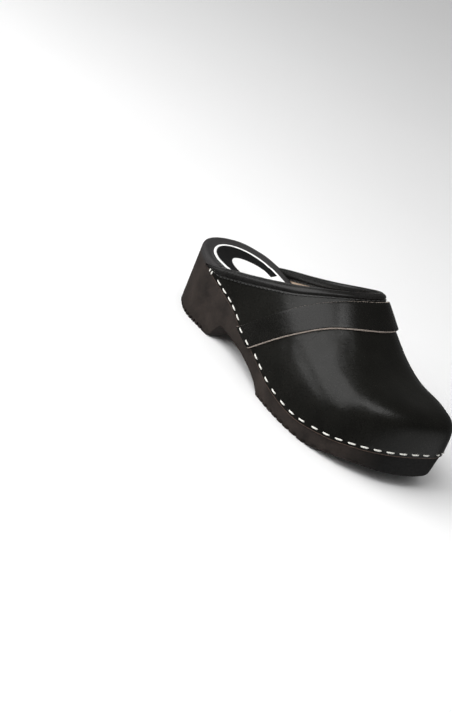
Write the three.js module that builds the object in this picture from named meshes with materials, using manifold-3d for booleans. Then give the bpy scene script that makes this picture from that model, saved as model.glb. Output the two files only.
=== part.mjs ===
// A right work clog: a hollow leather upper, open at the heel, on one moulded sole with a raised heel,
// with a padded roll along the top line, a strap over the instep and a label on the heel seat.
// Millimetres: +X to the toe, +Z up, -Y to the outer side of the foot. Stands on the floor at z = 0.

import * as THREE from 'three';
import { mergeVertices } from 'three/addons/utils/BufferGeometryUtils.js';
import Module from 'manifold-3d';

const wasm = await Module();
wasm.setup();

// Main sizes of the last
const LENGTH = 258; // sole, from the back of the heel to the toe
const BALL_WIDTH = 96; // across the ball of the foot
const HEEL_HEIGHT = 51; // rim of the heel seat above the floor
const INSTEP_HEIGHT = 98; // outside of the upper above the floor, just in front of the throat

// Leather and clearances
const LEATHER = 2.4;
const OVERHANG = 1.2; // how far the leather stands out from the side of the sole
const GAP = 0.3; // between pieces that touch
const ROLL_HEIGHT = 6.6;
const ROLL_THICKNESS = 5.6;
const STRAP_THICKNESS = 2.2;
const STRAP_GAP = 0.4; // the strap bends round the upper and lies less close
const LABEL_THICKNESS = 0.8;
const LABEL_GAP = 0.45; // the label lies in a dish, so its middle needs a little more than the gap

// Edges of the sole
const SIDE_DRAFT = 0.6; // how much the wall narrows towards the floor
const TOE_DRAFT = 1.8;
const EDGE_ROUND = 1.0;
const TOE_ROUND = 2.8;
const RIM_ROUND = 3.2;
const HEEL_CUP = 5.0; // depth of the dished footbed
const FOOTBED_ROUND = 0.33; // radius of its round ends, as a share of BALL_WIDTH
const RIM_SHARE = 0.19; // share of the dish's depth over which its rim is rounded

// Half widths to the outer and the inner side, as shares of BALL_WIDTH, at shares of LENGTH
const OUTLINE = [
  { at: 0.047, outer: 0.227, inner: 0.259 },
  { at: 0.136, outer: 0.332, inner: 0.328 },
  { at: 0.271, outer: 0.350, inner: 0.318 },
  { at: 0.388, outer: 0.393, inner: 0.309 },
  { at: 0.504, outer: 0.458, inner: 0.366 },
  { at: 0.620, outer: 0.511, inner: 0.465 },
  { at: 0.717, outer: 0.517, inner: 0.485 },
  { at: 0.814, outer: 0.474, inner: 0.481 },
  { at: 0.891, outer: 0.379, inner: 0.426 },
  { at: 0.953, outer: 0.233, inner: 0.330 },
  { at: 0.981, outer: 0.100, inner: 0.277 },
];
const TOE_SHIFT = 0.141; // how far the toe tip lies to the inner side, as a share of BALL_WIDTH
const TOE_BEND_AT = 0.581; // where that bend starts, as a share of LENGTH

// Underside of the sole: height as a share of HEEL_HEIGHT
const UNDERSIDE = [
  { at: 0.000, height: 0.039 },
  { at: 0.020, height: 0.000 },
  { at: 0.230, height: 0.000 },
  { at: 0.279, height: 0.288 },
  { at: 0.357, height: 0.269 },
  { at: 0.450, height: 0.200 },
  { at: 0.533, height: 0.024 },
  { at: 0.536, height: 0.000 },
  { at: 0.756, height: 0.000 },
  { at: 0.833, height: 0.084 },
  { at: 0.911, height: 0.155 },
  { at: 0.957, height: 0.172 },
  { at: 1.000, height: 0.176 },
];

// Line where the leather meets the sole: height as a share of HEEL_HEIGHT
const FEATHER = [
  { at: 0.085, height: 0.922 },
  { at: 0.136, height: 0.847 },
  { at: 0.213, height: 0.745 },
  { at: 0.291, height: 0.651 },
  { at: 0.368, height: 0.514 },
  { at: 0.465, height: 0.410 },
  { at: 0.581, height: 0.273 },
  { at: 0.698, height: 0.224 },
  { at: 0.814, height: 0.296 },
  { at: 0.911, height: 0.406 },
  { at: 1.000, height: 0.537 },
];

// Rim of the footbed: height as a share of HEEL_HEIGHT
const RIM = [
  { at: 0.000, height: 1.000 },
  { at: 0.174, height: 1.000 },
  { at: 0.233, height: 0.984 },
  { at: 0.310, height: 0.914 },
  { at: 0.368, height: 0.828 },
  { at: 0.465, height: 0.690 },
  { at: 0.581, height: 0.565 },
  { at: 0.698, height: 0.510 },
  { at: 0.814, height: 0.549 },
  { at: 0.911, height: 0.640 },
  { at: 1.000, height: 0.730 },
];

// Crest of the upper: height as a share of INSTEP_HEIGHT
const CREST = [
  { at: 0.233, height: 1.437 },
  { at: 0.388, height: 1.305 },
  { at: 0.484, height: 1.191 },
  { at: 0.543, height: 1.105 },
  { at: 0.601, height: 1.002 },
  { at: 0.678, height: 0.841 },
  { at: 0.756, height: 0.699 },
  { at: 0.833, height: 0.618 },
  { at: 0.911, height: 0.592 },
  { at: 1.000, height: 0.580 },
];

// Top line of the upper seen from the side: height as a share of INSTEP_HEIGHT
const TOP_LINE = [
  { at: 0.126, height: 0.448 },
  { at: 0.194, height: 0.528 },
  { at: 0.314, height: 0.652 },
  { at: 0.438, height: 0.789 },
  { at: 0.545, height: 0.914 },
  { at: 0.660, height: 1.040 },
];

// Shape of the cross-section: the power of its superellipse on each side, and its crest's place
// across the foot
const SECTION = [
  { at: 0.233, outer: 2.0, inner: 2.0, across: 0.000 },
  { at: 0.581, outer: 1.8, inner: 1.8, across: 0.111 },
  { at: 0.660, outer: 2.0, inner: 1.9, across: 0.111 },
  { at: 0.760, outer: 2.7, inner: 2.0, across: 0.111 },
  { at: 0.833, outer: 3.4, inner: 2.2, across: 0.111 },
  { at: 0.911, outer: 4.0, inner: 2.9, across: 0.111 },
  { at: 1.000, outer: 4.5, inner: 4.5, across: 0.110 },
];

// Forward of FAN_START the ribs of the form turn round towards FAN_CENTRE, as in a round toe
const FAN_START = 0.756 * LENGTH;
const FAN_CENTRE = 0.891 * LENGTH;

// Rear tips of the upper, and the recess that the sole has for the leather
const TIP_AT = 0.126 * LENGTH;
const LEATHER_FROM = TIP_AT + 2.0;
const RECESS_FROM = TIP_AT - 1.2;
const RECESS_STEP = 0.8;
const LEDGE_AT_HEEL = 0.05; // behind the recess its ledge runs out to almost nothing
const ROLL_FROM = TIP_AT + 7.0;
const ROLL_GROWS = 0.085 * LENGTH; // over this length the roll grows to its full height
const ROLL_SHRINKS_FROM = 0.465 * LENGTH; // from here to the throat it gets lower again
const ROLL_AT_THROAT = 0.65; // share of its height that it keeps there

// Strap: where its edges cross the feather line and the crest
const STRAP_WIDTH_LOW = 21.0;
const STRAP_WIDTH_TOP = 17.3;
const STRAP_FOOT = 0.354 * LENGTH;
const STRAP_FROM_THROAT = 5.4;

// Label on the heel seat
const LABEL_FROM = 0.044 * LENGTH;
const LABEL_TO = 0.415 * LENGTH;
const LABEL_INSET = 8.8;
const LABEL_END = 0.105 * LENGTH; // length of its round ends
const LABEL_TRIM = 0.003; // share left out at each end, where it would run to a point

// Tread
const GROOVE_DEPTH = 3.0;
const TREAD_PITCH = 5.0;
const TREAD_GROOVE = 2.4;
const TREAD_FROM = 0.552 * LENGTH;
const TREAD_TO = 0.911 * LENGTH;
const HEEL_PITCH = 4.6;
const HEEL_GROOVE = 2.0;
const HEEL_FROM = 0.026 * LENGTH;
const HEEL_TO = 0.213 * LENGTH;
const ZIGZAG_ACROSS = 0.055 * BALL_WIDTH;
const ZIGZAG_SWING = 4.0;
const ZIGZAG_LENGTH = 21.0;
const PATCH_RADIUS = 15.0;
const PATCH_AT = 0.837 * LENGTH;
const PATCH_ACROSS = 0.042 * BALL_WIDTH;

// Fineness of the meshes
const SOLE_STATIONS = 50;
const UPPER_STATIONS = 40;
const UPPER_STEPS = 13;
const ROLL_STATIONS = 18;
const ROLL_SIDES = 10;
const STRAP_STEPS = 14;
const LABEL_STATIONS = 20;
const BEYOND = 30; // how far cutters reach past what they cut
const SLIVER = 0.01; // thinner triangles are left out

const OUTER = -1;
const INNER = 1;
const QUARTER = Math.PI / 2;

const clamp = (value, low, high) => Math.min(high, Math.max(low, value));
const mix = (a, b, share) => a + (b - a) * share;

function smoothstep(value) {
  const share = clamp(value, 0, 1);
  return share * share * (3 - 2 * share);
}

// Slope of a monotone cubic at the end of its first piece
function endSlope(h0, h1, d0, d1) {
  const slope = ((2 * h0 + h1) * d0 - h0 * d1) / (h0 + h1);
  if (slope * d0 <= 0) return 0;
  if (d0 * d1 <= 0 && Math.abs(slope) > 3 * Math.abs(d0)) return 3 * d0;
  return slope;
}

// Monotone cubic through points (xs, ys), held level past its ends
function monotone(xs, ys) {
  const last = xs.length - 1;
  const steps = xs.slice(1).map((x, i) => x - xs[i]);
  const rises = ys.slice(1).map((y, i) => (y - ys[i]) / steps[i]);
  const slopes = xs.map((_, i) => {
    if (i === 0) return endSlope(steps[0], steps[1], rises[0], rises[1]);
    if (i === last) return endSlope(steps[last - 1], steps[last - 2], rises[last - 1], rises[last - 2]);
    if (rises[i - 1] * rises[i] <= 0) return 0;
    const before = 2 * steps[i] + steps[i - 1];
    const after = steps[i] + 2 * steps[i - 1];
    return (before + after) / (before / rises[i - 1] + after / rises[i]);
  });
  return (value) => {
    const x = clamp(value, xs[0], xs[last]);
    let i = 0;
    while (i < last - 1 && x > xs[i + 1]) i += 1;
    const t = (x - xs[i]) / steps[i];
    const bend = slopes[i] * (1 - t) - slopes[i + 1] * t;
    const chord = rises[i] * (1 - 2 * t);
    return mix(ys[i], ys[i + 1], t) + t * (1 - t) * steps[i] * (bend - chord);
  };
}

// A column of a table as a function of x
function column(rows, name, unit) {
  return monotone(rows.map((row) => row.at * LENGTH), rows.map((row) => row[name] * unit));
}

const undersideAt = column(UNDERSIDE, 'height', HEEL_HEIGHT);
const featherAt = column(FEATHER, 'height', HEEL_HEIGHT);
const rimAt = column(RIM, 'height', HEEL_HEIGHT);
const crestAt = column(CREST, 'height', INSTEP_HEIGHT);
const topLineAt = column(TOP_LINE, 'height', INSTEP_HEIGHT);
const spineAt = column(SECTION, 'across', BALL_WIDTH);
const powerAt = {
  [OUTER]: column(SECTION, 'outer', 1),
  [INNER]: column(SECTION, 'inner', 1),
};

// Middle line of the sole seen from above
function middleAt(x) {
  const bend = clamp((x / LENGTH - TOE_BEND_AT) / (1 - TOE_BEND_AT), 0, 1);
  return TOE_SHIFT * BALL_WIDTH * bend * bend;
}

// Squares of the half widths from the middle line: interpolated squares give round ends
function squaredWidths(side, name) {
  const xs = OUTLINE.map((row) => row.at * LENGTH);
  const squares = OUTLINE.map((row, i) => (row[name] * BALL_WIDTH - side * middleAt(xs[i])) ** 2);
  return monotone([0, ...xs, LENGTH], [0, ...squares, 0]);
}

const squaredWidth = {
  [OUTER]: squaredWidths(OUTER, 'outer'),
  [INNER]: squaredWidths(INNER, 'inner'),
};

// Point of the outline at station t, moved out by a distance
function outlinePoint(side, t, out) {
  const width = Math.sqrt(Math.max(0, squaredWidth[side](t))) * (1 + 2 * out / BALL_WIDTH);
  return [t * (1 + 2 * out / LENGTH) - out, middleAt(t) + side * width];
}

// Station of the outer skin whose foot lies at x
const stationAt = (x) => clamp((x + OVERHANG) / (1 + 2 * OVERHANG / LENGTH), 0, LENGTH);

// Where the rib from x meets the crest: straight across, or fanned in the toe
function spineX(x) {
  if (x < FAN_START) return x;
  const reach = FAN_CENTRE - FAN_START;
  return FAN_START + reach * Math.tanh((x - FAN_START) / reach);
}

// Outer skin of the upper at station t: angle 0 at the feather line, QUARTER at the crest
function skin(side, t, angle) {
  const [x, y] = outlinePoint(side, t, OVERHANG);
  const topX = spineX(x);
  const power = 2 / powerAt[side](x);
  const inward = 1 - Math.max(0, Math.cos(angle)) ** power;
  const rise = Math.max(0, Math.sin(angle)) ** power;
  const px = mix(x, topX, inward);
  return new THREE.Vector3(px, mix(y, spineAt(topX), inward), mix(featherAt(x), crestAt(px), rise));
}

// Outward normal of one side of the skin, taken just inside its edges
function sideNormal(side, t, angle) {
  const stepT = 0.1;
  const stepA = 0.005;
  const st = clamp(t, 2 * stepT, LENGTH - 2 * stepT);
  const sa = clamp(angle, 2 * stepA, QUARTER - 2 * stepA);
  const along = skin(side, st + stepT, sa).sub(skin(side, st - stepT, sa));
  const up = skin(side, st, sa + stepA).sub(skin(side, st, sa - stepA));
  return along.cross(up).multiplyScalar(-side).normalize();
}

// Normal of the skin, the same from both sides on the crest and at the toe tip
function skinNormal(side, t, angle) {
  const normal = sideNormal(side, t, angle);
  const onSeam = angle > QUARTER - 1e-6 || t > LENGTH - 1e-6;
  if (onSeam) normal.add(sideNormal(-side, t, angle)).normalize();
  return normal;
}

// Point at a distance outside the skin, or inside it where the distance is negative
function offSkin(side, t, angle, out) {
  return skin(side, t, angle).addScaledVector(skinNormal(side, t, angle), out);
}

// Angle at which the skin at x has height z
function angleAt(side, x, z) {
  const share = clamp((z - featherAt(x)) / (crestAt(x) - featherAt(x)), 0, 1);
  return Math.asin(share ** (powerAt[side](x) / 2));
}

// Place between low and high where a rising function passes zero
function crossing(gap, low, high) {
  let a = low;
  let b = high;
  for (let i = 0; i < 50; i += 1) {
    const middle = (a + b) / 2;
    if (gap(middle) < 0) a = middle;
    else b = middle;
  }
  return (a + b) / 2;
}

const throat = crossing((x) => topLineAt(x) - crestAt(x), TIP_AT, FAN_START);

// Height of the roll: it thins out towards the rear tips, and a little towards the throat
function rollAt(x) {
  const grown = smoothstep((x - TIP_AT) / ROLL_GROWS);
  const shrunk = smoothstep((x - ROLL_SHRINKS_FROM) / (throat - ROLL_SHRINKS_FROM));
  return ROLL_HEIGHT * grown * mix(1, ROLL_AT_THROAT, shrunk);
}

const leatherTopAt = (x) => topLineAt(x) - rollAt(x);

// Area inside a ring of points
function ringArea(ring) {
  const sum = new THREE.Vector3();
  ring.forEach((p, i) => sum.add(p.clone().cross(ring[(i + 1) % ring.length])));
  return sum.length() / 2;
}

// Closed solid from a list of rings of points. An end ring whose two sides lie on each other is a
// seam and needs no cap.
function loft(rings) {
  const count = rings[0].length;
  const points = rings.flat();
  const index = [];
  for (let i = 0; i + 1 < rings.length; i += 1) {
    for (let j = 0; j < count; j += 1) {
      const a = i * count + j;
      const b = i * count + (j + 1) % count;
      index.push(a, b, b + count, a, b + count, a + count);
    }
  }
  const ends = [[rings[0], 0, true], [rings.at(-1), (rings.length - 1) * count, false]];
  for (const [ring, start, flip] of ends) {
    if (ringArea(ring) < 0.01) continue;
    const centre = ring.reduce((sum, p) => sum.add(p), new THREE.Vector3()).divideScalar(count);
    points.push(centre);
    for (let j = 0; j < count; j += 1) {
      const a = start + j;
      const b = start + (j + 1) % count;
      if (flip) index.push(points.length - 1, b, a);
      else index.push(points.length - 1, a, b);
    }
  }
  const geometry = new THREE.BufferGeometry();
  geometry.setAttribute('position', new THREE.Float32BufferAttribute(points.flatMap((p) => p.toArray()), 3));
  geometry.setIndex(index);
  return toSolid(geometry);
}

// Solid from a closed geometry: points merged, empty triangles left out, faces turned outwards
function toSolid(geometry) {
  const bare = geometry.clone();
  bare.deleteAttribute('normal');
  bare.deleteAttribute('uv');
  const merged = mergeVertices(bare, 1e-4);
  const index = Array.from(merged.index.array);
  const triangles = [];
  for (let i = 0; i < index.length; i += 3) {
    const [a, b, c] = index.slice(i, i + 3);
    if (a !== b && b !== c && c !== a) triangles.push([a, b, c]);
  }
  const positions = merged.attributes.position.array;
  if (signedVolume(positions, triangles) < 0) triangles.forEach((triangle) => triangle.reverse());
  const mesh = new wasm.Mesh({
    numProp: 3,
    vertProperties: Float32Array.from(positions),
    triVerts: Uint32Array.from(triangles.flat()),
  });
  return new wasm.Manifold(mesh);
}

function signedVolume(positions, triangles) {
  const corner = (i) => new THREE.Vector3().fromArray(positions, 3 * i);
  return triangles.reduce((sum, [a, b, c]) => sum + corner(a).dot(corner(b).cross(corner(c))) / 6, 0);
}

// Named mesh of a solid, without the slivers that cuts leave
function toMesh(name, solid, material) {
  const { vertProperties, triVerts } = solid.simplify(SLIVER).getMesh();
  const geometry = new THREE.BufferGeometry();
  geometry.setAttribute('position', new THREE.BufferAttribute(Float32Array.from(vertProperties), 3));
  geometry.setIndex(new THREE.BufferAttribute(Uint32Array.from(triVerts), 1));
  geometry.computeVertexNormals();
  const mesh = new THREE.Mesh(geometry, material);
  mesh.name = name;
  return mesh;
}

// Prism whose side view is an outline of [x, z] points
function sidePrism(outline, halfWidth) {
  const shape = new THREE.Shape(outline.map(([x, z]) => new THREE.Vector2(x, z)));
  const geometry = new THREE.ExtrudeGeometry(shape, { depth: 2 * halfWidth, bevelEnabled: false });
  return toSolid(geometry.rotateX(QUARTER).translate(0, halfWidth, 0));
}

// Prism whose top view is an outline of [x, y] points
function planPrism(outline, low, high) {
  const shape = new THREE.Shape(outline.map(([x, y]) => new THREE.Vector2(x, y)));
  const geometry = new THREE.ExtrudeGeometry(shape, { depth: high - low, bevelEnabled: false });
  return toSolid(geometry.translate(0, 0, low));
}

const range = (count) => Array.from({ length: count + 1 }, (_, i) => i / count);
const joinAll = (solids) => solids.reduce((sum, solid) => sum.add(solid));

// Stations of the sole: close together at both ends, with one at each step of its shape
function soleStations() {
  const steps = [RECESS_FROM, RECESS_FROM + RECESS_STEP];
  for (const row of UNDERSIDE.slice(1, 9)) steps.push(row.at * LENGTH);
  const even = range(SOLE_STATIONS).map((share) => LENGTH * (1 - Math.cos(share * Math.PI)) / 2);
  const apart = LENGTH / SOLE_STATIONS / 3;
  const kept = even.filter((x) => steps.every((step) => Math.abs(x - step) > apart));
  return [...kept, ...steps].sort((a, b) => a - b);
}

// Height of the footbed: a shallow dish inside a round rim, which runs round the heel and the toe too.
// The share is 0 in the middle and 1 at either side.
function footbedAt(x, share) {
  const full = (FOOTBED_ROUND * BALL_WIDTH) ** 2;
  const inside = (1 - share * share) * Math.min(1, squaredWidth[OUTER](x) / full);
  const fromRim = 1 - Math.min(1, inside / RIM_SHARE);
  return rimAt(x) - HEEL_CUP * inside - RIM_ROUND * (1 - Math.sqrt(1 - fromRim * fromRim));
}

// Wall of the footbed's rim at height z: the side of the heel, or the back of the recess
function rimWall(side, t, z) {
  const [openX, openY] = outlinePoint(side, t, -LEDGE_AT_HEEL);
  const recess = clamp((t - RECESS_FROM) / RECESS_STEP, 0, 1);
  if (recess === 0) return new THREE.Vector3(openX, openY, z);
  const x = outlinePoint(side, t, OVERHANG)[0];
  const inside = offSkin(side, t, angleAt(side, Math.min(x, LENGTH), z), -(LEATHER + GAP));
  return new THREE.Vector3(mix(openX, inside.x, recess), mix(openY, inside.y, recess), z);
}

// Middle of the footbed at station t, halfway between its rims
function footbedMiddle(t) {
  const height = rimAt(t) - RIM_ROUND;
  const middle = rimWall(OUTER, t, height).add(rimWall(INNER, t, height)).multiplyScalar(0.5);
  return middle.setZ(footbedAt(t, 0));
}

// Half a ring of the sole at station t, from the middle of the underside up to the middle of the footbed
function soleHalfRing(side, t) {
  const toe = clamp((t / LENGTH - 0.735) / 0.265, 0, 1) ** 2;
  const draft = mix(SIDE_DRAFT, TOE_DRAFT, toe);
  const round = mix(EDGE_ROUND, TOE_ROUND, toe);
  const low = undersideAt(t);
  const ledge = featherAt(t) - GAP;
  const at = (out, z) => new THREE.Vector3(...outlinePoint(side, t, out), z);
  const foot = at(-draft - round, low);
  const rimFoot = rimAt(t) - RIM_ROUND;
  const rim = rimWall(side, t, rimFoot);
  const seatMiddle = footbedMiddle(t);
  const ledgeBack = rimWall(side, t, ledge);
  const seat = [0.97, 0.92, 0.84, 0.7, 0.5, 0.25].map(
    (share) => new THREE.Vector3(rim.x, mix(seatMiddle.y, rim.y, share), footbedAt(t, share)),
  );
  return [
    new THREE.Vector3(foot.x, (foot.y + middleAt(t)) / 2, low),
    foot,
    at(-draft - 0.3 * round, low + 0.3 * round),
    at(-draft, low + round),
    at(0, ledge),
    ledgeBack.clone().setZ(featherAt(ledgeBack.x) - GAP),
    rimWall(side, t, mix(ledge, rimFoot, 0.5)),
    rim,
    ...seat,
  ];
}

function soleRing(t) {
  const outer = soleHalfRing(OUTER, t);
  const inner = soleHalfRing(INNER, t);
  const underside = new THREE.Vector3(outer[0].x, middleAt(t), undersideAt(t));
  return [underside, ...outer, footbedMiddle(t), ...inner.reverse()];
}

// Slab under a surface that lies a groove's depth above the underside
function grooveSlab() {
  const xs = range(60).map((share) => share * LENGTH);
  const top = xs.map((x) => [x, undersideAt(x) + GROOVE_DEPTH]);
  return sidePrism([...top, [LENGTH, -BEYOND], [0, -BEYOND]], BALL_WIDTH);
}

// Straight grooves at an angle to the length, a pitch apart and counted from the corner at the toe
function diagonalGrooves(side) {
  const reach = LENGTH;
  const count = Math.ceil((TREAD_TO - TREAD_FROM + BALL_WIDTH) / Math.SQRT2 / TREAD_PITCH);
  const solids = [];
  for (let i = 0; i < count; i += 1) {
    const groove = new THREE.BoxGeometry(reach, TREAD_GROOVE, 2 * BEYOND);
    groove.translate(0, (i + 0.5) * TREAD_PITCH, 0);
    groove.rotateZ(QUARTER + side * QUARTER / 2);
    groove.translate(TREAD_TO, side * BALL_WIDTH / 2, 0);
    solids.push(toSolid(groove));
  }
  return joinAll(solids);
}

// Zone of the forefoot on one side of the zigzag line
function treadZone(side) {
  const halves = Math.ceil((TREAD_TO - TREAD_FROM) / ZIGZAG_LENGTH * 2);
  const line = [];
  for (let i = 0; i <= halves; i += 1) {
    const x = Math.min(TREAD_TO, TREAD_FROM + i * ZIGZAG_LENGTH / 2);
    line.push([x, ZIGZAG_ACROSS + (i % 2 ? 1 : -1) * ZIGZAG_SWING]);
  }
  return planPrism([...line, [TREAD_TO, side * BALL_WIDTH], [TREAD_FROM, side * BALL_WIDTH]], -BEYOND, BEYOND);
}

// Plain half disc in the tread, with its flat side to the toe
function plainPatch() {
  const arc = range(16).map((share) => QUARTER + share * Math.PI);
  const outline = arc.map((angle) => [
    PATCH_AT + PATCH_RADIUS * Math.cos(angle),
    PATCH_ACROSS + PATCH_RADIUS * Math.sin(angle),
  ]);
  return planPrism(outline, -BEYOND, BEYOND);
}

function heelGrooves() {
  const count = Math.floor((HEEL_TO - HEEL_FROM) / HEEL_PITCH);
  const solids = [];
  for (let i = 0; i <= count; i += 1) {
    const groove = new THREE.BoxGeometry(HEEL_GROOVE, 2 * BALL_WIDTH, 2 * BEYOND);
    solids.push(toSolid(groove.translate(HEEL_FROM + i * HEEL_PITCH, 0, 0)));
  }
  return joinAll(solids);
}

function makeSole() {
  const body = loft(soleStations().map(soleRing));
  const outer = diagonalGrooves(OUTER).intersect(treadZone(OUTER));
  const inner = diagonalGrooves(INNER).intersect(treadZone(INNER));
  const forefoot = outer.add(inner).subtract(plainPatch());
  return body.subtract(forefoot.add(heelGrooves()).intersect(grooveSlab()));
}

// Stations of the upper, closer together towards the toe
function upperStations(from) {
  return range(UPPER_STATIONS).map((share) => mix(from, LENGTH, Math.sin(share * QUARTER)));
}

// Dome over the whole last, a distance outside the skin and reaching below the feather line
function dome(out, from, below) {
  const angles = range(UPPER_STEPS).map((share) => share * QUARTER);
  const rings = upperStations(from).map((t) => {
    const halves = [OUTER, INNER].map((side) => {
      const points = angles.map((angle) => offSkin(side, t, angle, out));
      if (below > 0) points.unshift(points[0].clone().setZ(points[0].z - below));
      return points;
    });
    return [...halves[0], ...halves[1].reverse().slice(1)];
  });
  return loft(rings);
}

// Everything behind the throat and over the edge of the leather
function topLineCutter() {
  const front = throat + BEYOND;
  const xs = range(20).map((share) => mix(LEATHER_FROM, front, share));
  const line = xs.map((x) => [x, leatherTopAt(x)]);
  const high = 2 * INSTEP_HEIGHT;
  const back = [[front, high], [-BEYOND, high], [-BEYOND, 0], [LEATHER_FROM, 0]];
  return sidePrism([...line, ...back], BALL_WIDTH);
}

function makeUpper() {
  const from = TIP_AT - 6;
  return dome(0, from, 0).subtract(dome(-LEATHER, from - 4, BEYOND / 3)).subtract(topLineCutter());
}

// Where the middle of the leather meets a line of the side view: from the rear tip to the crest
function edgeOnLine(lineAt) {
  const above = (p) => p.z - lineAt(p.x);
  const middle = (side, t, angle) => offSkin(side, t, angle, -LEATHER / 2);
  const from = stationAt(ROLL_FROM);
  const to = crossing((t) => -above(middle(OUTER, t, QUARTER)), from, stationAt(FAN_START));
  return (side, share) => {
    const t = mix(from, to, Math.sin(share * QUARTER));
    if (share === 1) return middle(side, to, QUARTER);
    return middle(side, t, crossing((angle) => above(middle(side, t, angle)), 0, QUARTER));
  };
}

const leatherEdge = edgeOnLine(leatherTopAt);
const topEdge = edgeOnLine(topLineAt);

// Ring of the roll: it stands on the cut edge of the leather and reaches up to the top line
function rollRing(side, share) {
  const step = 0.01;
  const low = leatherEdge(side, share);
  const up = topEdge(side, share).sub(low);
  const height = up.length();
  up.normalize();
  const ahead = share === 1 ? leatherEdge(-side, 1 - step) : leatherEdge(side, share + step);
  const along = ahead.sub(share === 0 ? low : leatherEdge(side, share - step)).multiplyScalar(-side);
  const slope = (leatherTopAt(low.x + 1) - leatherTopAt(low.x - 1)) / 2;
  const cutNormal = new THREE.Vector3(-slope, 0, 1).normalize();
  const out = along.cross(cutNormal).normalize();
  const lift = GAP / up.dot(cutNormal);
  const tall = (height - lift) / 2;
  const grown = smoothstep((low.x - ROLL_FROM) / ROLL_GROWS);
  const thick = ROLL_THICKNESS / 2 * mix(0.45, 1, grown);
  const centre = low.addScaledVector(up, lift + tall).addScaledVector(out, (thick - LEATHER / 2) * (1 - grown));
  return range(ROLL_SIDES).slice(1).map((part) => {
    const turn = side * (part * 4 * QUARTER - QUARTER);
    const point = centre.clone().addScaledVector(up, tall * Math.sin(turn) * side);
    return point.addScaledVector(out, thick * Math.cos(turn));
  });
}

function makeRoll() {
  const shares = range(ROLL_STATIONS);
  const outer = shares.map((share) => rollRing(OUTER, share));
  const inner = shares.slice(0, -1).reverse().map((share) => rollRing(INNER, share));
  return loft([...outer, ...inner]);
}

// Section of the strap at an angle round the foot: its four edges, lying on the skin
function strapRing(side, angle) {
  const share = Math.sin(angle);
  const rear = mix(STRAP_FOOT, throat + STRAP_FROM_THROAT, share);
  const front = rear + mix(STRAP_WIDTH_LOW, STRAP_WIDTH_TOP, share);
  const place = (across, out) => offSkin(side, stationAt(mix(rear, front, across)), angle, out);
  const across = [0, 1 / 3, 2 / 3, 1];
  const under = across.map((part) => place(part, STRAP_GAP));
  const over = across.map((part) => place(part, STRAP_GAP + STRAP_THICKNESS));
  return [...under, ...over.reverse()];
}

function makeStrap() {
  const angles = range(STRAP_STEPS).map((share) => share * QUARTER);
  const outer = angles.map((angle) => strapRing(OUTER, angle));
  const inner = angles.slice(0, -1).reverse().map((angle) => strapRing(INNER, angle));
  return loft([...outer, ...inner]);
}

// Half width of the label at x: it follows the outline and is round at both ends
function labelWidth(side, x) {
  const [, y] = outlinePoint(side, clamp(x, LABEL_FROM + LABEL_END, LABEL_TO - LABEL_END), 0);
  const fromEnd = Math.min(x - LABEL_FROM, LABEL_TO - x);
  const share = clamp(fromEnd / LABEL_END, 0, 1);
  return (Math.abs(y) - LABEL_INSET) * Math.sqrt(Math.max(0, share * (2 - share)));
}

function labelRing(x) {
  const widest = (side) => Math.abs(rimWall(side, x, rimAt(x) - RIM_ROUND).y);
  const points = [];
  for (const share of [1, 0.75, 0.5, 0.25]) points.push([OUTER, share]);
  for (const share of [0, 0.25, 0.5, 0.75, 1]) points.push([INNER, share]);
  const place = ([side, share], out) => {
    const y = labelWidth(side, x) * share;
    return new THREE.Vector3(x, side * y, footbedAt(x, y / widest(side)) + out);
  };
  const under = points.map((point) => place(point, LABEL_GAP));
  const over = points.map((point) => place(point, LABEL_GAP + LABEL_THICKNESS));
  return [...under, ...over.reverse()];
}

function makeLabel() {
  const shares = range(LABEL_STATIONS).map((share) => (1 - Math.cos(share * Math.PI)) / 2);
  const kept = shares.map((share) => mix(LABEL_TRIM, 1 - LABEL_TRIM, share));
  return loft(kept.map((share) => labelRing(mix(LABEL_FROM, LABEL_TO, share))));
}

const moulded = new THREE.MeshStandardMaterial({ color: 0x2e2927, roughness: 0.75, metalness: 0 });
const leather = new THREE.MeshStandardMaterial({ color: 0x141311, roughness: 0.38, metalness: 0 });
const softLeather = new THREE.MeshStandardMaterial({ color: 0x1b1918, roughness: 0.5, metalness: 0 });
const printed = new THREE.MeshStandardMaterial({ color: 0xf2f2f0, roughness: 0.45, metalness: 0 });

const clog = new THREE.Group();
clog.add(
  toMesh('sole', makeSole(), moulded),
  toMesh('upper', makeUpper(), leather),
  toMesh('collar', makeRoll(), softLeather),
  toMesh('strap', makeStrap(), leather),
  toMesh('heel_label', makeLabel(), printed),
);

// The origin lies on the floor under the middle of the clog's box
const box = new THREE.Box3().setFromObject(clog);
const centre = box.getCenter(new THREE.Vector3());
clog.position.set(-centre.x, -centre.y, -box.min.z);
clog.updateMatrixWorld(true);

export default clog;
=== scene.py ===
"""A right work clog on a pale floor: leather upper, padded roll, strap, moulded sole and label."""

import math

import bmesh
import bpy
import numpy as np
from mathutils import Matrix, Vector


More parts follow.
